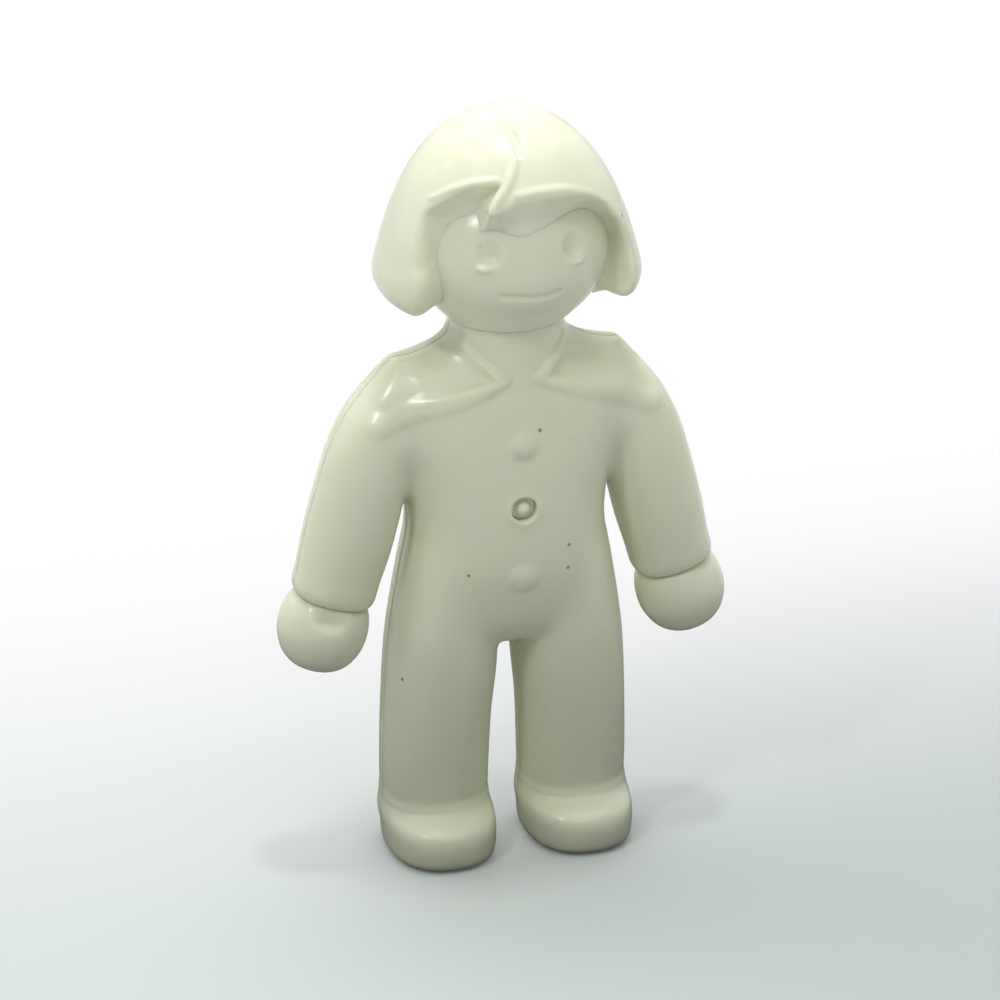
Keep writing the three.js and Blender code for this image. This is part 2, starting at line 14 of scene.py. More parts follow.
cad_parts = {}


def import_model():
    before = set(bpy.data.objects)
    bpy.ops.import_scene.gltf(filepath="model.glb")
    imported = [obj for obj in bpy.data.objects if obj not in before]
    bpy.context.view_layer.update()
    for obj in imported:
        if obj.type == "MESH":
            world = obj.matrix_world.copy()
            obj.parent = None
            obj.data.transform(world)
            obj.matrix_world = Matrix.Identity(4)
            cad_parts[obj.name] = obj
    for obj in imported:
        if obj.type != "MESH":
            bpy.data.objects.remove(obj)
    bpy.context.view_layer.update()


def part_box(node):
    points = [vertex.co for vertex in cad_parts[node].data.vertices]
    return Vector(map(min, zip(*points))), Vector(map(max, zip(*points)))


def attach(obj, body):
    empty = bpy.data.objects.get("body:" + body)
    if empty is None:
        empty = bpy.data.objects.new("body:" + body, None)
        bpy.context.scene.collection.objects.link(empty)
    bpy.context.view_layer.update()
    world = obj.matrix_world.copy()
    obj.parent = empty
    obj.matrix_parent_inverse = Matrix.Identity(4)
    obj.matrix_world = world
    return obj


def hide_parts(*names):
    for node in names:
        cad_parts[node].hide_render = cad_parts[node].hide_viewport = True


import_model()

MM = 0.001
PARTING_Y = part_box("body_back")[0][1]  # metres: the plane between the shells, in the frame

# Fits and walls
WALL = 0.75
HEAD_WALL = 0.8
TURN_GAP = 0.08
PRESS_GAP = 0.04
SEEN_GAP = 0.006  # gap between turning pieces where it can be seen
SEAM = 0.006  # rounding of the edges along the plane between the shells

# Body
FORK_HEIGHT = 7.3
LEG_SPREAD = 2.38
SHOULDER_X = 3.6
SHOULDER_RISE = 9.92
SLEEVE_TILT = math.radians(15.8)
SLEEVE_LENGTH = 8.3
FLESH = 2.4
SEAT_Z = 16.5
SHELF = 0.8
THROAT_RADIUS = 1.86
THROAT_FOOT_RADIUS = 2.12
THROAT_FLARE = 0.06  # how far its upper end widens to meet the jaw
# The throat's wall above its foot: below the middle of the head, how far outside its radius
THROAT_WALL = [(2.65, 0.02), (2.4, 0.3 * THROAT_FLARE), (2.2, THROAT_FLARE)]
RIM_LAP = 0.12  # the thin rim of the throat reaches this far into the jaw, so that no gap shows
SOCKET_ROUNDING = 0.02
# Ridges that stand out of the suit: across, height, radius, how far out. The edge of the open collar, then
# the crest that runs from its tip along the shoulder.
LAPEL = [
    (1.6, 18.0, 0.12, 0.05), (1.18, 17.5, 0.14, 0.12), (0.86, 17.2, 0.17, 0.18), (0.56, 16.95, 0.16, 0.15),
]
CREST = [
    (0.75, 16.8, 0.16, -0.04), (1.1, 16.68, 0.22, -0.01), (1.6, 16.5, 0.28, 0.0), (2.3, 16.26, 0.34, 0.0),
    (3.05, 16.05, 0.38, 0.0), (3.76, 15.78, 0.4, 0.0), (4.5, 15.4, 0.4, -0.02),
]
CREST_FOOT = 0.5  # the crest stands level with the suit this far below it
# How widely forms run into each other. Two pairs are places and the blend at each.
THROAT_BLEND = (0.8, 1.8), (0.15, 0.45)  # by distance across from the middle
SLEEVE_BLEND = (12.5, 14.5), (0.4, 0.75)  # by height
CREST_BLEND = 0.2
LAPEL_BLEND = 0.15
ANKLE_BLEND = 0.45
HIP_BLEND = 0.3

# Buttons, pin and dowels
BUTTON_RADIUS = 0.56
BUTTON_LEVELS = [10.25, 14.77]
BUTTON_RISES = [0.09, 0.14]
BUTTON_BLEND = 0.07
PIN_SWELLING = (0.78, 0.29, 0.76)  # half sizes of the raised cloth round the pin
PIN_Z = 12.6
PIN_RADIUS = 0.42
PIN_PIP_RADIUS = 0.25
PIN_RECESS = 0.12
PIN_MOAT = 0.14  # depth of the moat round the pip
PIN_MOAT_RIM = 0.02
PIN_MOAT_ROUNDING = 0.03
PIN_PIP_BLEND = 0.06
PIN_HOLE_ROUNDING = 0.06
PIN_BOSS_WALL = 0.5
DOWEL_RADIUS = 0.34
DOWEL_LENGTH = 0.6
DOWEL_PLACES = [(3.25, 15.5), (2.38, 1.0)]

# Neck and head
NECK_RADIUS = 1.36
NECK_ROOT_RADIUS = 1.26
NECK_LENGTH = 1.9
STEM_RADIUS = 0.95
FLANGE_RADIUS = 1.35
FLANGE_THICKNESS = 0.5
HEAD_Z = 20.8
EYES_X = [-1.43, 1.53]
EYE_RISE = 0.85
EYE_HALVES = (0.48, 0.33, 0.45)
EYE_FORWARD = 0.15
EYE_BLEND = 0.16
CHEEK_X = 1.3585
CHEEK_RISE = 0.29
CHEEK_HALVES = (0.36, 0.17, 0.14)
CHEEK_SINK = 0.12
CHEEK_BLEND = 0.15
MOUTH = [(-0.98, -0.64), (-0.6, -0.68), (-0.1, -0.72), (0.4, -0.73), (0.9, -0.63)]  # across, above the middle
MOUTH_RADIUS = 0.075
MOUTH_FORWARD = 0.02
MOUTH_BLEND = 0.08

# Hair
HAIR_Y = -0.1
HAIR_ROUNDNESS = 2.3
NAPE_RADIUS = 2.76
CROWN_HOLE_RADIUS = 1.45
CROWN_PEG_LENGTH = 1.3
PEG_WALL = 0.6

# Hands
PEG_RADIUS = 0.5
PEG_REACH = 1.35
SNAP_RADIUS = 0.68
SNAP_LENGTH = 0.5
THUMB_PLACE = (0.26, -1.42, -0.3)  # away from the doll's middle, front to back, above the top of the hand
THUMB_HALVES = (0.55, 0.3, 0.3)
THUMB_BLEND = 0.3

# Height above the fork, half width, half depth
TRUNK = [
    (0, 3.3, 0.8), (0.35, 3.55, 1.45), (1.1, 3.68, 1.95), (2.7, 3.5, 2.28), (4.5, 3.29, 2.35),
    (6.15, 3.5, 2.32), (7.55, 3.92, 2.26), (8.6, 4.1, 2.18), (9.1, 3.98, 2.05), (9.7, 3.58, 1.66),
    (10.1, 3.05, 1.36), (10.4, 2.48, 1.18), (10.7, 1.98, 1.06),
]
# Up from the cuff, half width, half depth, how far out
SLEEVE = [
    (0, 1.22, 1.18, 0), (0.3, 1.36, 1.32, 0), (1, 1.38, 1.36, 0), (2.3, 1.45, 1.43, 0.02),
    (4, 1.42, 1.48, 0.06), (5.2, 1.32, 1.46, 0.1), (6.3, 1.1, 1.35, 0.1), (7.2, 0.8, 1.08, 0.04),
    (7.9, 0.45, 0.66, 0), (8.35, 0.16, 0.25, 0),
]
# Share of the fork's height, half width, half depth, lean of the middle line
LEG = [
    (0.165, 1.72, 1.64, 0.02), (0.29, 1.77, 1.72, 0.01), (0.425, 1.79, 1.76, 0), (0.66, 1.8, 1.84, -0.06),
    (0.905, 1.84, 1.94, -0.19), (1.11, 1.76, 1.97, -0.27), (1.35, 1.5, 1.85, -0.36), (1.5, 1.25, 1.6, -0.4),
]
# Height, half width, front, back
SHOE = [
    (0, 1.6, -2.65, 1.55), (0.25, 1.8, -2.86, 1.75), (0.85, 1.85, -2.87, 1.8), (1.25, 1.83, -2.74, 1.8),
    (1.5, 1.73, -2.4, 1.75), (1.75, 1.5, -1.7, 1.6),
]
# Below the cuff, half width, half depth
HAND = [
    (2.5, 0.3, 0.28), (2.37, 0.76, 0.74), (2.02, 1.17, 1.14), (1.45, 1.43, 1.38), (0.9, 1.48, 1.42),
    (0.38, 1.4, 1.34), (0, 1.22, 1.16),
]
# Above the middle of the head, half width, half depth, how far forward
HEAD = [
    (-2.9, 0.35, 0.35, 0), (-2.72, 1.12, 1.12, 0), (-2.3, 1.84, 1.84, 0), (-1.4, 2.66, 2.4, 0.28),
    (-0.6, 3.06, 2.66, 0.36), (0.3, 3.22, 2.74, 0.35), (1.2, 3.02, 2.6, 0.3), (2, 2.5, 2.18, 0.25),
    (2.5, 1.85, 1.64, 0.2), (2.8, 1.05, 0.95, 0.2), (2.9, 0.3, 0.3, 0.2),
]
# Above the middle of the head, half width, half depth
BOB = [
    (-1.62, 3.3, 2.95), (-1.45, 3.85, 3.3), (-1.1, 4.18, 3.52), (-0.6, 4.28, 3.6), (0.2, 4.08, 3.6),
    (1.1, 3.8, 3.52), (2.1, 3.38, 3.26), (2.9, 2.92, 2.88), (3.7, 2.25, 2.25), (4.3, 1.42, 1.42),
    (4.62, 0.7, 0.68), (4.7, 0.2, 0.2),
]
# The face opening, across and above the middle of the head: where its wall leaves the hair's outside, and
# where it meets the head. The doll's right side first, then the left, whose fringe hangs lower.
LIP_RIGHT = [
    (-3.0, -2.6), (-3.3, -1.7), (-3.5, -1.2), (-3.58, -0.8), (-3.52, -0.2), (-3.53, 0.39), (-3.41, 1.23),
    (-3.18, 1.92), (-2.67, 2.43), (-2.04, 2.83), (-1.51, 2.96), (-0.96, 3.02), (0.5, 2.9), (2.4, 2.2),
    (3.2, 0.8), (3.4, -0.8), (3.0, -2.6), (0, -3.4),
]
EDGE_RIGHT = [
    (-2.2, -2.6), (-2.45, -1.9), (-2.5, -1.35), (-2.56, -0.75), (-2.7, -0.13), (-2.77, 0.46), (-2.63, 1.02),
    (-2.28, 1.59), (-1.74, 1.92), (-1.18, 2.15), (-0.4, 2.3), (0.8, 2.2), (1.9, 1.7), (2.7, 0.6), (2.7, -0.8),
    (2.2, -2.6), (0, -3.2),
]
LIP_LEFT = [
    (3.0, -2.6), (3.3, -1.7), (3.5, -1.2), (3.58, -0.8), (3.5, -0.2), (3.4, 0.4), (3.16, 1.07), (2.77, 1.66),
    (2.32, 2.18), (1.59, 2.49), (0.56, 2.6), (-0.48, 2.54), (-0.84, 2.4), (-1.3, 2.2), (-1.9, 1.9),
    (-2.4, 1.3), (-2.6, 0.2), (-2.7, -1), (-2.6, -2.6), (0, -3.4),
]
EDGE_LEFT = [
    (2.2, -2.6), (2.5, -1.6), (2.75, -1.0), (2.99, -0.39), (3.08, 0.21), (2.95, 0.76), (2.56, 1.39),
    (1.89, 1.8), (1.11, 1.78), (0.43, 1.59), (-0.44, 1.42), (-1.17, 1.53), (-1.7, 1.4), (-2.1, 0.9),
    (-2.2, 0), (-2.2, -1.2), (-2.1, -2.6), (0, -3.2),
]
OPENING_BACK = -0.9  # the opening's wall ends here, behind its edge on the head
HAIR_DEPTH = 0.08  # the hair's thin edges reach this far into the head, so that no gap shows
HAIR_FILLET = 0.4  # between the hair's wall and the face
FILLET_END = (2.35, 2.6), (0, 1)  # above the middle of the head, and how far the fillet has run out there
OPENING_ROUNDING = (0.2, 2.2), (0.36, 0.08)  # above the middle of the head, and the edge's rounding there
RIM_BLEND = 0.12
LOCK_BLEND = 0.12
LOCK_SINK = 0.55  # of the lock's half width: how deep its middle line lies in the hair
LOCK_COVER = 0.8  # of the lock's half width: the right side of the opening ends this far across it
SIDE_LAP = 0.3  # the left side of the opening starts this far inside the end of the right one
PARTING_BLEND = 0.2
OPENING_GROOVE = 0.25  # how much the wall on the doll's right hollows out towards the head
# Lock of hair that falls from the parting over the brow: across, above the middle of the head, half width
LOCK = [(-0.4, 3.72, 0.1), (-0.58, 3.32, 0.15), (-0.84, 2.92, 0.17), (-1.14, 2.56, 0.16), (-1.36, 2.28, 0.1)]
# Groove of the parting: across, front to back, above the middle of the head, radius
PARTING = [
    (-0.33, -2.3, 3.72, 0.02), (-0.26, -1.86, 4.05, 0.09), (-0.4, -1.15, 4.46, 0.12),
    (-0.42, 0.06, 4.74, 0.1), (-0.42, 1.2, 4.52, 0.02),
]
# Raised rims of the hair over the brow: across, above the middle of the head, radius, how far out
RIM_RIGHT = [
    (-2.9, 2.36, 0.08, -0.02), (-2.4, 2.7, 0.13, 0.03), (-1.75, 2.98, 0.13, 0.04), (-1.1, 3.08, 0.1, 0.02),
]
RIM_LEFT = [
    (1.9, 2.46, 0.08, -0.02), (1.1, 2.68, 0.14, 0.03), (0.3, 2.72, 0.16, 0.05), (-0.5, 2.66, 0.14, 0.03),
]

# Meshes
BODY_STEP = 0.09
FACE_STEP = 0.065
SMALL_STEP = 0.05
HAND_STEP = 0.06
FINE = 1  # each step is this many times as long
BLOCK = 4  # cells along the side of a block, within which the field is exact or coarse throughout
BATCH = 20000  # blocks that are worked out together
FAR = 1.3  # the slope of a lofted body's side isn't followed beyond this share of its half width


def spline(rows, samples=12, closed=False):
    """Dense rows of a uniform Catmull-Rom curve through the given rows."""
    rows = np.array(rows, float)
    if closed:
        padded = np.vstack([rows[-1:], rows, rows[:2]])
    else:
        padded = np.vstack([2 * rows[0] - rows[1], rows, 2 * rows[-1] - rows[-2]])
    share = np.linspace(0, 1, samples, endpoint=False)[:, None]
    dense = []
    for before, start, end, after in zip(padded, padded[1:], padded[2:], padded[3:]):
        dense.append(start + 0.5 * share * (
            end - before
            + share * (2 * before - 5 * start + 4 * end - after)
            + share ** 2 * (3 * start - before - 3 * end + after)
        ))
    if not closed:
        dense.append(rows[-1:])
    return np.vstack(dense)


# Fields: each takes points, one a row, and gives how far each lies outside, negative inside


def smooth_min(a, b, reach):
    overlap = np.maximum(reach - np.abs(a - b), 0) / reach
    return np.minimum(a, b) - overlap * overlap * reach / 4


def smooth_max(a, b, reach):
    return -smooth_min(-a, -b, reach)


def loft(rows, roundness=FLESH, rounding=0.1):
    """A body through rings that climb in z: rows of z, x, y, half width, half depth."""
    dense = spline(sorted(rows))
    level = dense[:, 0]
    slopes = np.gradient(dense[:, 1:], level, axis=0)

    def field(p):
        z = np.clip(p[:, 2], level[0], level[-1])
        x0, y0, a, b = (np.interp(z, level, dense[:, i]) for i in (1, 2, 3, 4))
        dx0, dy0, da, db = (np.interp(z, level, slopes[:, i]) for i in (0, 1, 2, 3))
        u = (p[:, 0] - x0) / a
        v = (p[:, 1] - y0) / b
        pu = np.abs(u) ** (roundness - 1)
        pv = np.abs(v) ** (roundness - 1)
        total = pu * np.abs(u) + pv * np.abs(v) + 1e-12
        f = total ** (1 / roundness)
        gx = f / total * pu * np.sign(u) / a
        gy = f / total * pv * np.sign(v) / b
        gz = gx * (dx0 + np.clip(u, -FAR, FAR) * da) + gy * (dy0 + np.clip(v, -FAR, FAR) * db)
        side = (f - 1) / np.sqrt(gx * gx + gy * gy + gz * gz + 1e-12)
        ends = np.maximum(level[0] - p[:, 2], p[:, 2] - level[-1])
        return smooth_max(side, ends, rounding)

    return field


def polygon(u, v, corners):
    """Signed distance of 2-D points to a polygon. Its last side bounds it but is no surface."""
    best = np.full(u.shape, np.inf)
    inside = np.zeros(u.shape, bool)
    for i, (a, b) in enumerate(zip(corners, corners[1:] + corners[:1])):
        du, dv = b[0] - a[0], b[1] - a[1]
        if i < len(corners) - 1:
            share = np.clip(((u - a[0]) * du + (v - a[1]) * dv) / (du * du + dv * dv), 0, 1)
            best = np.minimum(best, (u - a[0] - du * share) ** 2 + (v - a[1] - dv * share) ** 2)
        if dv:
            crossing = ((a[1] > v) != (b[1] > v)) & (u < a[0] + (v - a[1]) / dv * du)
            inside ^= crossing
    return np.where(inside, -1, 1) * np.sqrt(best)


def turned(profile):
    """A turned body about Z from (radius, z) points."""
    return lambda p: polygon(np.hypot(p[:, 0], p[:, 1]), p[:, 2], profile)


def cross_rod(radius, front, back, x, z):
    """A rod along Y."""
    def field(p):
        around = np.hypot(p[:, 0] - x, p[:, 2] - z) - radius
        along = np.maximum(front - p[:, 1], p[:, 1] - back)
        return np.maximum(around, along)
    return field


def ellipsoid(middle, halves):
    def field(p):
        q = (p - middle) / halves
        k = np.sqrt((q * q).sum(1)) + 1e-9
        return k * (k - 1) / np.sqrt(((q / halves) ** 2).sum(1) + 1e-12)
    return field


def stroke(rows):
    """A round stroke along rows of x, y, z, radius."""
    dense = spline(rows, 4)

    def field(p):
        best = np.full(len(p), np.inf)
        for a, b in zip(dense, dense[1:]):
            run = b[:3] - a[:3]
            share = np.clip((p - a[:3]) @ run / (run @ run), 0, 1)
            away = np.linalg.norm(p - a[:3] - share[:, None] * run, axis=1)
            best = np.minimum(best, away - a[3] - share * (b[3] - a[3]))
        return best
    return field


def in_arm(field, side):
    """The field in the frame of an arm: the sleeve's upper end, with -Z running down the arm."""
    turn = -side * SLEEVE_TILT
    rotation = np.array([
        [math.cos(turn), 0, math.sin(turn)],
        [0, 1, 0],
        [-math.sin(turn), 0, math.cos(turn)],
    ])
    origin = np.array([side * SHOULDER_X, 0, FORK_HEIGHT + SHOULDER_RISE])
    return lambda p: field((p - origin) @ rotation)


# The doll's forms


def trunk_rows(inset=0.0):
    return [(FORK_HEIGHT + rise, 0, 0, a - inset, b - inset) for rise, a, b in TRUNK]


def leg_rows(side, inset=0.0):
    return [
        (FORK_HEIGHT * share, side * (LEG_SPREAD + lean), 0, a - inset, b - inset)
        for share, a, b, lean in LEG
    ]


def front_of(rows, x, z, roundness=FLESH):
    """How far forward a loft reaches at a place across and up."""
    dense = spline(sorted(rows))
    y0, a, b = (np.interp(z, dense[:, 0], dense[:, i]) for i in (2, 3, 4))
    return y0 - b * (1 - np.minimum(np.abs(x / a), 0.985) ** roundness) ** (1 / roundness)


def front_of_trunk(z):
    return float(front_of(trunk_rows(), 0, z))


def ridge(field, rows, foot=0.0):
    """A stroke that stands out of the front that a field has a foot lower: rows of x, z, radius, out."""
    y = np.linspace(-4, 0, 2001)
    placed = []
    for x, z, radius, out in rows:
        line = np.column_stack([np.full_like(y, x), y, np.full_like(y, z - foot)])
        placed.append((x, y[np.argmax(field(line) < 0)] + radius - out, z, radius))
    return stroke(placed)


def body_skin():
    trunk = loft(trunk_rows(), rounding=0.3)
    sleeve = in_arm(loft([(up - SLEEVE_LENGTH, out, 0, a, b) for up, a, b, out in SLEEVE], rounding=0.12), 1)
    leg = loft(leg_rows(1), rounding=0.3)
    shoe = loft([(z, LEG_SPREAD, (f + b) / 2, a, (b - f) / 2) for z, a, f, b in SHOE], rounding=0.16)
    buttons = [
        ellipsoid((0, front_of_trunk(z) + rise, z), (BUTTON_RADIUS, 2 * rise, BUTTON_RADIUS))
        for z, rise in zip(BUTTON_LEVELS, BUTTON_RISES)
    ]
    swelling = ellipsoid((0, front_of_trunk(PIN_Z) + 0.2, PIN_Z - 0.06), PIN_SWELLING)
    throat = turned([
        (0, SEAT_Z - SHELF), (THROAT_FOOT_RADIUS, SEAT_Z - SHELF),
        *((THROAT_RADIUS + out, HEAD_Z - below) for below, out in THROAT_WALL),
        (0, HEAD_Z - THROAT_WALL[-1][0]),
    ])

    def bare(p):
        d = smooth_min(trunk(p), throat(p), np.interp(np.abs(p[:, 0]), *THROAT_BLEND))
        return smooth_min(d, sleeve(p), np.interp(p[:, 2], *SLEEVE_BLEND))

    collar_edge, crest = ridge(bare, LAPEL), ridge(bare, CREST, CREST_FOOT)

    def field(p):
        p = np.column_stack([np.abs(p[:, 0]), p[:, 1:]])
        d = smooth_min(smooth_min(bare(p), crest(p), CREST_BLEND), collar_edge(p), LAPEL_BLEND)
        d = smooth_min(d, smooth_min(leg(p), shoe(p), ANKLE_BLEND), HIP_BLEND)
        for button in [*buttons, swelling]:
            d = smooth_min(d, button(p), BUTTON_BLEND)
        return d

    return field


def body_hollow():
    ceiling = SEAT_Z - SHELF - TURN_GAP - FLANGE_THICKNESS
    rows = [row for row in trunk_rows(WALL) if row[0] < ceiling]
    rows[0] = (rows[0][0] + WALL, *rows[0][1:])
    trunk = loft(rows)
    legs = [loft(leg_rows(side, WALL)[1:]) for side in (-1, 1)]
    top = SEAT_Z - SHELF - TURN_GAP
    chamber = turned([
        (0, rows[-1][0] - WALL), (FLANGE_RADIUS + TURN_GAP, rows[-1][0] - WALL),
        (FLANGE_RADIUS + TURN_GAP, top), (0, top),
    ])

    def field(p):
        d = np.minimum(trunk(p), chamber(p))
        for leg in legs:
            d = smooth_min(d, leg(p), HIP_BLEND)
        return d

    return field


def neck_socket():
    """Funnel for the neck, with the hole for the stem below it and room for the jaw above."""
    floor = SEAT_Z - TURN_GAP
    jaw, chin = HEAD[1], HEAD[2]
    return turned([
        (0, floor - SHELF - 1), (STEM_RADIUS + TURN_GAP, floor - SHELF - 1), (STEM_RADIUS + TURN_GAP, floor),
        (NECK_ROOT_RADIUS + TURN_GAP, floor), (NECK_RADIUS + SEEN_GAP, HEAD_Z + jaw[0] - SEEN_GAP),
        (chin[1] - RIM_LAP, HEAD_Z + chin[0] + RIM_LAP / 2), (2 * chin[1], HEAD_Z + chin[0] + chin[1]),
        (0, HEAD_Z + chin[0] + chin[1]),
    ])


def wrist_bore(side):
    cuff = -SLEEVE_LENGTH
    snap = cuff + PEG_REACH - TURN_GAP
    end = snap + SNAP_LENGTH + 2 * TURN_GAP
    return in_arm(turned([
        (0, cuff - 1), (PEG_RADIUS + TURN_GAP, cuff - 1), (PEG_RADIUS + TURN_GAP, snap),
        (SNAP_RADIUS + TURN_GAP, snap), (SNAP_RADIUS + TURN_GAP, end), (0, end),
    ]), side)


def body_whole():
    skin, hollow, seat = body_skin(), body_hollow(), neck_socket()
    front = front_of_trunk(PIN_Z)
    boss = cross_rod(PIN_RADIUS + PIN_BOSS_WALL, front + WALL / 2, -front - WALL / 2, 0, PIN_Z)
    pin_hole = cross_rod(PIN_RADIUS + SEEN_GAP / 2, front - 1, -front - WALL, 0, PIN_Z)
    bores = [wrist_bore(side) for side in (-1, 1)]

    def field(p):
        d = np.maximum(skin(p), -hollow(p))
        d = np.minimum(d, boss(p))
        d = smooth_max(d, -pin_hole(p), PIN_HOLE_ROUNDING)
        d = smooth_max(d, -seat(p), SOCKET_ROUNDING)
        for bore in bores:
            d = np.maximum(d, -bore(p))
        return d

    return field


def body_front():
    whole = body_whole()
    dowels = [cross_rod(DOWEL_RADIUS, -DOWEL_LENGTH, DOWEL_LENGTH, side * x, z)
              for x, z in DOWEL_PLACES for side in (-1, 1)]

    def field(p):
        d = smooth_max(whole(p), p[:, 1], SEAM)
        for dowel in dowels:
            d = np.minimum(d, dowel(p))
        return d

    return field


def body_back():
    whole = body_whole()
    sockets = [cross_rod(DOWEL_RADIUS + PRESS_GAP, -1, DOWEL_LENGTH + PRESS_GAP, side * x, z)
               for x, z in DOWEL_PLACES for side in (-1, 1)]

    def field(p):
        d = smooth_max(whole(p), -p[:, 1], SEAM)
        for socket in sockets:
            d = np.maximum(d, -socket(p))
        return d

    return field


def belly_pin():
    """The pin that closes the body, with a moat round the pip on its face."""
    front = front_of_trunk(PIN_Z)
    rod = cross_rod(PIN_RADIUS, front + PIN_RECESS, -front - WALL - PRESS_GAP, 0, PIN_Z)
    floor_y = front + PIN_RECESS + PIN_MOAT
    moat = cross_rod(PIN_RADIUS - PIN_MOAT_RIM, front - 1, floor_y, 0, PIN_Z)
    pip = ellipsoid((0, floor_y, PIN_Z), (PIN_PIP_RADIUS, 2 * PIN_MOAT, PIN_PIP_RADIUS))
    return lambda p: smooth_min(smooth_max(rod(p), -moat(p), PIN_MOAT_ROUNDING), pip(p), PIN_PIP_BLEND)


def head_rows(grow=0.0):
    return [(HEAD_Z + rise, 0, -forward, a + grow, b + grow) for rise, a, b, forward in HEAD]


def on_face(x, rise):
    return x, float(front_of(head_rows(), x, HEAD_Z + rise, 2)), HEAD_Z + rise


def eye_dents():
    dents = []
    for eye_x in EYES_X:
        x, y, z = on_face(eye_x, EYE_RISE)
        dents.append(ellipsoid((x, y - EYE_FORWARD, z), EYE_HALVES))
    return dents


def head():
    skull = loft(head_rows(), 2, rounding=0.3)
    flange_top = SEAT_Z - SHELF - 2 * TURN_GAP
    neck = turned([
        (0, flange_top - FLANGE_THICKNESS), (FLANGE_RADIUS, flange_top - FLANGE_THICKNESS),
        (FLANGE_RADIUS, flange_top), (STEM_RADIUS, flange_top), (STEM_RADIUS, SEAT_Z),
        (NECK_ROOT_RADIUS, SEAT_Z), (NECK_RADIUS, SEAT_Z + NECK_LENGTH), (0, SEAT_Z + NECK_LENGTH),
    ])
    inner = loft(head_rows(-HEAD_WALL)[2:-2], 2)
    crown = turned([
        (0, HEAD_Z), (CROWN_HOLE_RADIUS, HEAD_Z), (CROWN_HOLE_RADIUS, HEAD_Z + 4), (0, HEAD_Z + 4),
    ])
    eyes = eye_dents()
    cheeks = [
        ellipsoid(np.add(on_face(side * CHEEK_X, CHEEK_RISE), (0, CHEEK_SINK, 0)), CHEEK_HALVES)
        for side in (-1, 1)
    ]
    mouth = stroke([(*np.add(on_face(x, rise), (0, -MOUTH_FORWARD, 0)), MOUTH_RADIUS) for x, rise in MOUTH])

    def field(p):
        d = smooth_min(skull(p), neck(p), 0.1)
        d = np.maximum(d, -np.minimum(inner(p), crown(p)))
        for cheek in cheeks:
            d = smooth_min(d, cheek(p), CHEEK_BLEND)
        for eye in eyes:
            d = smooth_max(d, -eye(p), EYE_BLEND)
        return smooth_max(d, -mouth(p), MOUTH_BLEND)

    return field


def bob_rows():
    return [(HEAD_Z + rise, 0, HAIR_Y, a, b) for rise, a, b in BOB]


def opening(lip, edge, groove=0.0):
    """The room before the face: inside a wall that runs from the lip on the hair to the edge on the head."""
    loops = []
    for rows, points, roundness in ((bob_rows(), lip, HAIR_ROUNDNESS), (head_rows(), edge, 2)):
        dense = spline(points, 8, closed=True)
        x, rise = dense.T
        angle = np.arctan2(rise, x)
        order = np.argsort(angle)
        y = front_of(rows, x, HEAD_Z + rise, roundness)
        loops.append((angle[order], np.hypot(x, rise)[order], y[order]))

    def field(p):
        rise = p[:, 2] - HEAD_Z
        angle = np.arctan2(rise, p[:, 0])
        reach = np.hypot(p[:, 0], rise)
        (lip_r, lip_y), (edge_r, edge_y) = [
            [np.interp(angle, turns, values, period=2 * math.pi) for values in (r, y)]
            for turns, r, y in loops
        ]
        edge_r = edge_r - 0.8 * groove
        out, forward = lip_r - edge_r, edge_y - lip_y
        span = np.hypot(out, forward)
        wall = ((reach - edge_r) * forward + (p[:, 1] - edge_y) * out) / span
        share = ((reach - edge_r) * out - (p[:, 1] - edge_y) * forward) / (span * span)
        wall -= groove * (1 - np.clip(share, 0, 1)) ** 2 * np.interp(rise, (0.8, 2.2), (1, 0.3))
        return np.maximum(wall, p[:, 1] - OPENING_BACK)

    return field


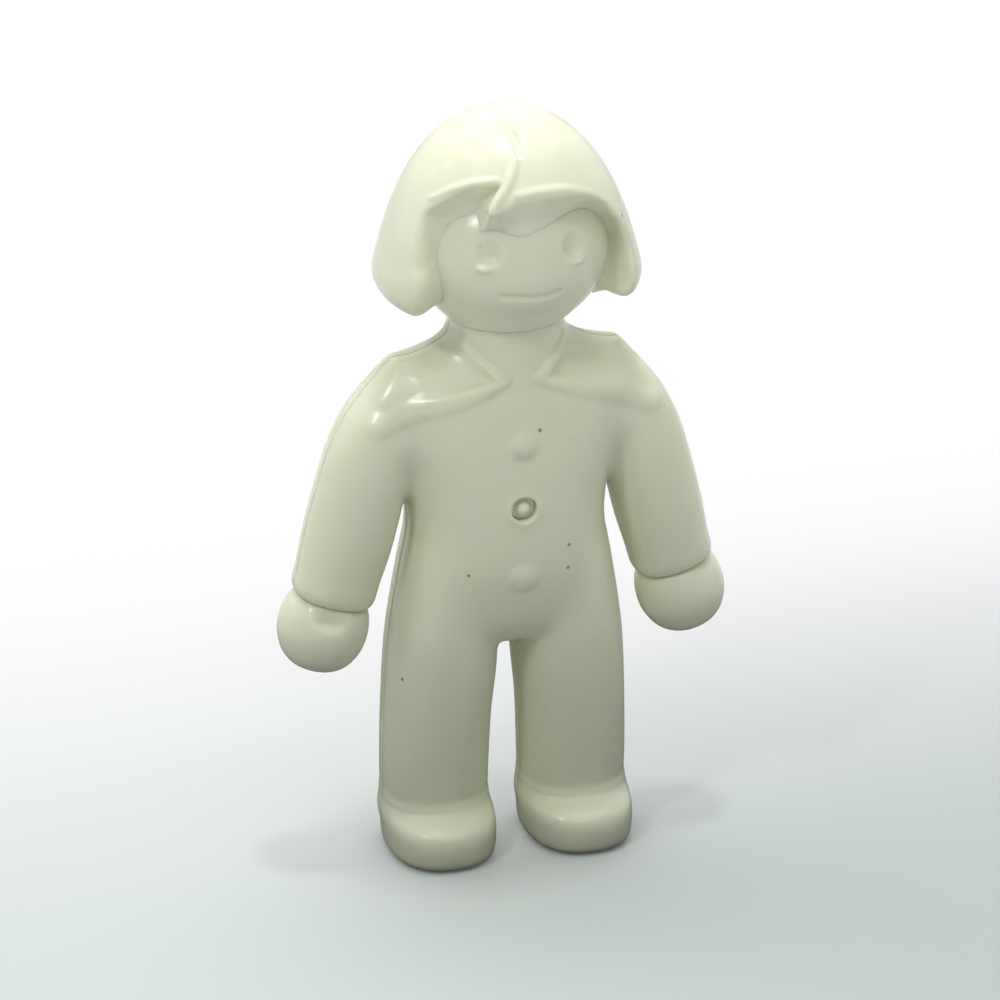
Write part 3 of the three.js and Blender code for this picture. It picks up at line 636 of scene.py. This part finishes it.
def hair():
    mass = loft(bob_rows(), HAIR_ROUNDNESS, rounding=0.2)
    right, left = opening(LIP_RIGHT, EDGE_RIGHT, OPENING_GROOVE), opening(LIP_LEFT, EDGE_LEFT)
    room = loft(head_rows(-HAIR_DEPTH), 2, rounding=0.3)
    nape = turned([(0, HEAD_Z - 3), (NAPE_RADIUS, HEAD_Z - 3), (NAPE_RADIUS, HEAD_Z), (0, HEAD_Z)])
    crown = HEAD_Z + HEAD[-1][0]
    peg = turned([
        (CROWN_HOLE_RADIUS - PEG_WALL, crown - CROWN_PEG_LENGTH),
        (CROWN_HOLE_RADIUS - PRESS_GAP, crown - CROWN_PEG_LENGTH),
        (CROWN_HOLE_RADIUS - PRESS_GAP, crown + HEAD_WALL), (CROWN_HOLE_RADIUS - PEG_WALL, crown + HEAD_WALL),
    ])
    parting = stroke([(x, y, HEAD_Z + rise, radius) for x, y, rise, radius in PARTING])
    rims = [ridge(mass, [(x, HEAD_Z + rise, radius, out) for x, rise, radius, out in rows])
            for rows in (RIM_RIGHT, RIM_LEFT)]
    eyes = eye_dents()
    lock_rows = []
    for x, rise, half in LOCK:
        y = float(front_of(bob_rows(), x, HEAD_Z + rise, HAIR_ROUNDNESS))
        lock_rows.append((x, y + LOCK_SINK * half, HEAD_Z + rise, half))
    lock = stroke(lock_rows)
    line = np.array([(rise, x - half * LOCK_COVER) for x, rise, half in reversed(LOCK)])

    def field(p):
        d = mass(p)
        for rim in rims:
            d = smooth_min(d, rim(p), RIM_BLEND)
        rise = p[:, 2] - HEAD_Z
        beyond = np.interp(rise, line[:, 0], line[:, 1])
        room_front = np.minimum(
            smooth_max(right(p), p[:, 0] - beyond, 0.04),
            np.maximum(left(p), beyond - SIDE_LAP - p[:, 0]),
        )
        d = smooth_max(d, -room_front, np.interp(rise, *OPENING_ROUNDING))
        d = smooth_min(d, lock(p), LOCK_BLEND)
        d = smooth_max(d, -parting(p), PARTING_BLEND)
        inside = room(p)
        d = smooth_min(d, inside + 0.01 + np.interp(rise, *FILLET_END), HAIR_FILLET)
        d = np.maximum(d, -np.minimum(inside, nape(p)))
        for eye in eyes:
            d = np.maximum(d, -np.maximum(eye(p), inside - HAIR_DEPTH))
        return np.minimum(d, peg(p))

    return field


def hand(side, thumb):
    top = -SLEEVE_LENGTH - SEEN_GAP
    palm = loft([(top - below, 0, 0, a, b) for below, a, b in HAND], 2.1, rounding=0.16)
    snap = -SLEEVE_LENGTH + PEG_REACH
    peg = turned([
        (0, top - 0.5), (PEG_RADIUS, top - 0.5), (PEG_RADIUS, snap), (SNAP_RADIUS, snap),
        (PEG_RADIUS, snap + SNAP_LENGTH), (0, snap + SNAP_LENGTH),
    ])
    across, forward, rise = THUMB_PLACE
    hollow = ellipsoid((across * side, forward, top + rise), THUMB_HALVES)

    def field(p):
        d = np.minimum(palm(p), peg(p))
        return smooth_max(d, -hollow(p), THUMB_BLEND) if thumb else d

    return in_arm(field, side)


# Meshes from fields


def sampled(field, low, high, step):
    """The field on a grid: exact near the surface, coarse elsewhere."""
    block = BLOCK * step
    blocks = np.ceil((high - low) / block).astype(int)
    axes = [low[i] + block * (np.arange(blocks[i]) + 0.5) for i in range(3)]
    middles = np.stack(np.meshgrid(*axes, indexing="ij"), -1).reshape(-1, 3)
    rough = field(middles)
    near = np.abs(rough) < 1.4 * block + 0.3
    values = np.broadcast_to(rough.reshape(blocks)[:, None, :, None, :, None], (
        blocks[0], BLOCK, blocks[1], BLOCK, blocks[2], BLOCK)).copy()
    cells = np.stack(np.meshgrid(*[np.arange(BLOCK)] * 3, indexing="ij"), -1).reshape(-1, 3)
    offsets = (cells - (BLOCK - 1) / 2) * step
    places = np.argwhere(near.reshape(blocks))
    for start in range(0, len(places), BATCH):
        part = places[start:start + BATCH]
        points = (middles.reshape(*blocks, 3)[tuple(part.T)][:, None, :] + offsets).reshape(-1, 3)
        fine = field(points).reshape(len(part), BLOCK, BLOCK, BLOCK)
        values[part[:, 0], :, part[:, 1], :, part[:, 2], :] = fine
    return values.reshape(blocks * BLOCK), low + step / 2


def net(values, origin, step):
    """Surface net: a vertex in each cell that the surface crosses, and a quad round each edge it crosses."""
    inside = values < 0
    shape = np.array(values.shape) - 1
    total = np.zeros(shape, np.int8)
    sums = np.zeros((*shape, 3), np.float32)
    hits = np.zeros(shape, np.float32)
    for corner in np.ndindex(2, 2, 2):
        total += inside[tuple(slice(c, c + n) for c, n in zip(corner, shape))]
    active = (total > 0) & (total < 8)
    for axis in range(3):
        for corner in np.ndindex(2, 2):
            start = np.insert(np.array(corner), axis, 0)
            end = np.insert(np.array(corner), axis, 1)
            a = values[tuple(slice(c, c + n) for c, n in zip(start, shape))]
            b = values[tuple(slice(c, c + n) for c, n in zip(end, shape))]
            crosses = active & ((a < 0) != (b < 0))
            share = a[crosses] / (a[crosses] - b[crosses])
            place = np.tile(start.astype(np.float32), (len(share), 1))
            place[:, axis] = share
            sums[crosses] += place
            hits[crosses] += 1
    cells = np.argwhere(active)
    index = np.full(shape, -1, np.int64)
    index[active] = np.arange(len(cells))
    points = origin + step * (cells + sums[active] / hits[active][:, None])
    quads = []
    for axis in range(3):
        first, second = (axis + 1) % 3, (axis + 2) % 3
        low = [slice(1, -1)] * 3
        low[axis] = slice(0, -1)
        high = list(low)
        high[axis] = slice(1, None)
        edge = inside[tuple(low)] != inside[tuple(high)]
        leaving = inside[tuple(low)][edge]
        base = np.argwhere(edge) + [0 if i == axis else 1 for i in range(3)]
        ring = []
        for back_first, back_second in ((1, 1), (0, 1), (0, 0), (1, 0)):
            cell = base.copy()
            cell[:, first] -= back_first
            cell[:, second] -= back_second
            ring.append(index[tuple(cell.T)])
        ring = np.stack(ring, 1)
        ring[~leaving] = ring[~leaving, ::-1]
        quads.append(ring)
    return points, np.vstack(quads)


def gradient(field, points, reach=0.01):
    out = np.empty_like(points)
    for axis in range(3):
        move = np.zeros(3)
        move[axis] = reach
        out[:, axis] = (field(points + move) - field(points - move)) / (2 * reach)
    return out


def relaxed(field, points, quads, step):
    """Evens the net out and puts each vertex on the surface."""
    ends = np.concatenate([quads, np.roll(quads, -1, axis=1)])
    others = np.concatenate([np.roll(quads, -1, axis=1), quads])
    count = np.bincount(ends.ravel(), minlength=len(points))
    for share in (0.5, 0.35, 0):
        if share:
            mean = np.stack([
                np.bincount(ends.ravel(), points[others.ravel(), i], len(points)) / np.maximum(count, 1)
                for i in range(3)
            ], 1)
            points = points + share * (mean - points)
        slope = gradient(field, points)
        length = (slope ** 2).sum(1)
        move = slope * (field(points) / np.maximum(length, 0.2))[:, None]
        size = np.linalg.norm(move, axis=1)
        points = points - move * np.minimum(1, step / np.maximum(size, 1e-9))[:, None]
    return points


def made(name, field, low, high, step):
    step *= FINE
    values, origin = sampled(field, np.array(low, float), np.array(high, float), step)
    points, quads = net(values, origin, step)
    points = relaxed(field, points, quads, step)
    points = points * MM
    points[:, 1] += PARTING_Y
    mesh = bpy.data.meshes.new(name)
    mesh.vertices.add(len(points))
    mesh.vertices.foreach_set("co", points.astype(np.float32).ravel())
    mesh.loops.add(quads.size)
    mesh.loops.foreach_set("vertex_index", quads.astype(np.int32).ravel())
    mesh.polygons.add(len(quads))
    mesh.polygons.foreach_set("loop_start", np.arange(0, quads.size, 4, dtype=np.int32))
    mesh.update(calc_edges=True)
    mesh.validate()
    mesh.shade_smooth()
    piece = bpy.data.objects.new(name, mesh)
    bpy.context.scene.collection.objects.link(piece)
    return piece


# Materials


def ranged(tree, value, low, high, to_low, to_high, easing="LINEAR"):
    node = tree.nodes.new("ShaderNodeMapRange")
    node.interpolation_type = easing
    for i, number in enumerate((low, high, to_low, to_high), 1):
        node.inputs[i].default_value = number
    tree.links.new(value, node.inputs[0])
    return node.outputs[0]


def combined(tree, operation, first, second):
    node = tree.nodes.new("ShaderNodeMath")
    node.operation = operation
    tree.links.new(first, node.inputs[0])
    tree.links.new(second, node.inputs[1])
    return node.outputs[0]


def mixed(tree, share, first, second):
    """A mix of two colours, each given as red, green and blue or as another node's output."""
    node = tree.nodes.new("ShaderNodeMix")
    node.data_type = "RGBA"
    tree.links.new(share, node.inputs["Factor"])
    for socket, value in ((node.inputs[6], first), (node.inputs[7], second)):
        if isinstance(value, tuple):
            socket.default_value = (*value, 1)
        else:
            tree.links.new(value, socket)
    return node.outputs[2]


def mixed_shaders(tree, share, first, second):
    node = tree.nodes.new("ShaderNodeMixShader")
    for socket, output in zip(node.inputs, (share, first, second)):
        tree.links.new(output, socket)
    return node.outputs[0]


def bumped(tree, height, strength, distance):
    node = tree.nodes.new("ShaderNodeBump")
    node.inputs["Strength"].default_value = strength
    node.inputs["Distance"].default_value = distance
    tree.links.new(height, node.inputs["Height"])
    return node


def coordinates(tree, kind):
    """A texture coordinate, and its X, Y and Z."""
    place = tree.nodes.new("ShaderNodeTexCoord").outputs[kind]
    split = tree.nodes.new("ShaderNodeSeparateXYZ")
    tree.links.new(place, split.inputs[0])
    return place, split.outputs


def plastic(name, colour, roughness, speck_level, grain):
    """Semi-gloss moulded plastic: soft mottling, orange-peel grain, scuffed gloss and a few dark specks."""
    material = bpy.data.materials.new(name)
    material.use_nodes = True
    tree = material.node_tree
    shader = tree.nodes["Principled BSDF"]
    shader.inputs["Subsurface Weight"].default_value = 0.5
    shader.inputs["Subsurface Radius"].default_value = (1.0, 0.95, 0.7)
    shader.inputs["Subsurface Scale"].default_value = 0.00028
    shader.inputs["IOR"].default_value = 1.49
    place = tree.nodes.new("ShaderNodeTexCoord").outputs["Object"]

    def noise(scale, detail):
        node = tree.nodes.new("ShaderNodeTexNoise")
        node.inputs["Scale"].default_value = scale
        node.inputs["Detail"].default_value = detail
        tree.links.new(place, node.inputs["Vector"])
        return node.outputs["Fac"]

    warm = tuple(c * f for c, f in zip(colour, (1.02, 1.01, 0.97)))
    cool = tuple(c * f for c, f in zip(colour, (0.97, 0.985, 1.0)))
    base = mixed(tree, ranged(tree, noise(420, 2), 0.2, 0.8, 0, 1), warm, cool)
    cell = tree.nodes.new("ShaderNodeTexVoronoi")
    cell.inputs["Scale"].default_value = 900
    tree.links.new(place, cell.inputs["Vector"])
    chosen = ranged(tree, cell.outputs["Color"], speck_level, speck_level + 0.01, 0, 1)
    dot = ranged(tree, cell.outputs["Distance"], 0.03, 0.08, 1, 0)
    specked = mixed(tree, combined(tree, "MULTIPLY", chosen, dot), base, tuple(c * 0.3 for c in colour))
    tree.links.new(specked, shader.inputs["Base Color"])
    scuffed = ranged(tree, noise(900, 2), 0.2, 0.8, roughness - 0.03, roughness + 0.05)
    tree.links.new(scuffed, shader.inputs["Roughness"])
    fine = bumped(tree, noise(3800, 3), grain, 0.00001)
    wave = bumped(tree, noise(700, 2), 0.35, 0.00005)
    tree.links.new(fine.outputs["Normal"], wave.inputs["Normal"])
    tree.links.new(wave.outputs["Normal"], shader.inputs["Normal"])
    return material


SUIT = plastic("suit_plastic", (0.775, 0.800, 0.615), 0.23, 0.7, 0.5)
SKIN = plastic("skin_plastic", (0.775, 0.800, 0.625), 0.22, 0.75, 0.4)
HAIR = plastic("hair_plastic", (0.800, 0.820, 0.640), 0.24, 0.8, 0.4)
PIN = plastic("pin_plastic", (0.790, 0.812, 0.640), 0.24, 0.99, 0.3)


def dressed(piece, body, node, material):
    piece.data.materials.append(material)
    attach(piece, body)
    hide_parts(node)


dressed(made("body_front_shell", body_front(), (-7.7, -3.2, -0.3), (7.7, 0.9, 18.8), BODY_STEP),
        "trunk", "body_front", SUIT)
dressed(made("body_back_shell", body_back(), (-7.7, -0.3, -0.3), (7.7, 2.8, 18.8), BODY_STEP),
        "trunk", "body_back", SUIT)
dressed(made("closing_pin", belly_pin(), (-0.6, -2.7, 11.9), (0.6, 2.0, 13.3), SMALL_STEP),
        "trunk", "belly_pin", PIN)
dressed(made("head_and_neck", head(), (-3.5, -3.4, 14.7), (3.5, 2.7, 24.1), FACE_STEP),
        "head", "head", SKIN)
dressed(made("bob_hair", hair(), (-4.6, -4.0, 18.9), (4.6, 3.8, 25.8), FACE_STEP),
        "head", "hair", HAIR)
for name, side, thumb in (("right", -1, True), ("left", 1, False)):
    middle = side * (SHOULDER_X + math.sin(SLEEVE_TILT) * SLEEVE_LENGTH)
    mitten = made(f"{name}_mitten", hand(side, thumb), (middle - 2.1, -1.7, 6.4), (middle + 2.1, 1.7, 11.4),
                  HAND_STEP)
    dressed(mitten, f"{name}_hand", f"hand_{name}", SKIN)


# Floor, light and camera


def floor():
    """Paper that turns white behind the doll and far from it. Painted shade: it throws little light up near
    its feet, and the camera sees it darker towards +X as a painted shadow.
    """
    mesh = bpy.data.meshes.new("floor")
    half = 1.2
    corners = [(-half, -half, 0), (half, -half, 0), (half, half, 0), (-half, half, 0)]
    mesh.from_pydata(corners, [], [(0, 1, 2, 3)])
    ground = bpy.data.objects.new("floor", mesh)
    bpy.context.scene.collection.objects.link(ground)
    material = bpy.data.materials.new("paper_floor")
    material.use_nodes = True
    tree = material.node_tree
    paper = tree.nodes["Principled BSDF"]
    paper.inputs["Roughness"].default_value = 0.7
    white = tree.nodes.new("ShaderNodeEmission")
    white.inputs["Color"].default_value = (1, 1, 1, 1)
    camera_ray = tree.nodes.new("ShaderNodeLightPath").outputs["Is Camera Ray"]
    place, split = coordinates(tree, "Object")
    length = tree.nodes.new("ShaderNodeVectorMath")
    length.operation = "LENGTH"
    tree.links.new(place, length.inputs[0])
    away = length.outputs["Value"]

    behind = ranged(tree, split["Y"], -0.012, 0.032, 0, 1, "SMOOTHERSTEP")
    around = ranged(tree, away, 0.034, 0.08, 0, 1, "SMOOTHERSTEP")
    faded = combined(tree, "MAXIMUM", behind, around)
    # Painted shade: the paper that light bounces from is dark near the feet, standing in for the shadow there
    painted_shade_bounce = ranged(tree, away, 0.008, 0.045, 0.07, 0.95, "SMOOTHSTEP")
    # Painted shadow: the paper the camera sees turns darker towards +X, where the doll's soft shadow falls
    across = ranged(tree, split["X"], -0.012, 0.014, 0, 1, "SMOOTHSTEP")
    painted_shadow_colour = mixed(tree, across, (0.60, 0.645, 0.625), (0.46, 0.505, 0.49))
    tree.links.new(mixed(tree, camera_ray, painted_shade_bounce, painted_shadow_colour), paper.inputs["Base Color"])
    seen_white = combined(tree, "MULTIPLY", faded, camera_ray)
    surface = mixed_shaders(tree, seen_white, paper.outputs[0], white.outputs[0])
    tree.links.new(surface, tree.nodes["Material Output"].inputs["Surface"])
    ground.data.materials.append(material)


def lamp(name, place, target, width, height, power, colour):
    light = bpy.data.lights.new(name, "AREA")
    light.shape = "RECTANGLE"
    light.size, light.size_y = width, height
    light.energy = power
    light.color = colour
    holder = bpy.data.objects.new(name, light)
    holder.location = place
    holder.rotation_euler = (Vector(target) - Vector(place)).to_track_quat("-Z", "Y").to_euler()
    bpy.context.scene.collection.objects.link(holder)


def world():
    """Soft light, stronger from behind, that the camera sees as white."""
    sky = bpy.data.worlds.new("studio")
    bpy.context.scene.world = sky
    sky.use_nodes = True
    tree = sky.node_tree
    soft = tree.nodes["Background"]
    soft.inputs["Color"].default_value = (0.95, 0.98, 1.0, 1)
    split = coordinates(tree, "Generated")[1]
    strength = ranged(tree, split["Y"], -0.3, 0.5, 0.22, 0.85, "SMOOTHSTEP")
    tree.links.new(strength, soft.inputs["Strength"])
    white = tree.nodes.new("ShaderNodeBackground")
    white.inputs["Color"].default_value = (1, 1, 1, 1)
    camera_ray = tree.nodes.new("ShaderNodeLightPath").outputs["Is Camera Ray"]
    surface = mixed_shaders(tree, camera_ray, soft.outputs[0], white.outputs[0])
    tree.links.new(surface, tree.nodes["World Output"].inputs["Surface"])


def camera():
    """The photograph's view, 1000 pixels wide."""
    yaw, pitch, roll = math.radians(16.5), math.radians(23), math.radians(0.45)
    distance, focal_pixels = 130, 3980
    back = Vector((-math.sin(yaw) * math.cos(pitch), -math.cos(yaw) * math.cos(pitch), math.sin(pitch)))
    target = Vector((0, PARTING_Y, 12 * MM))
    data = bpy.data.cameras.new("camera")
    data.sensor_width = 36
    data.lens = focal_pixels * data.sensor_width / 1000
    data.shift_x = -0.004
    data.clip_start = 0.005
    holder = bpy.data.objects.new("camera", data)
    turn = (-back).to_track_quat("-Z", "Y").to_matrix().to_4x4() @ Matrix.Rotation(roll, 4, "Z")
    holder.matrix_world = Matrix.Translation(target + back * distance * MM) @ turn
    bpy.context.scene.collection.objects.link(holder)
    bpy.context.scene.camera = holder


floor()
world()
LIGHT = (1.0, 1.0, 0.98)
lamp("overhead", (0.004, 0.0, 0.085), (0.002, 0, 0.012), 0.19, 0.09, 0.064, LIGHT)
lamp("glint_left", (-0.072, -0.05, 0.104), (0, 0, 0.018), 0.012, 0.012, 0.025, LIGHT)
lamp("glint_above", (0.004, 0.0, 0.13), (0, 0, 0.015), 0.012, 0.012, 0.03, LIGHT)
camera()
bpy.context.scene.view_settings.view_transform = "Standard"
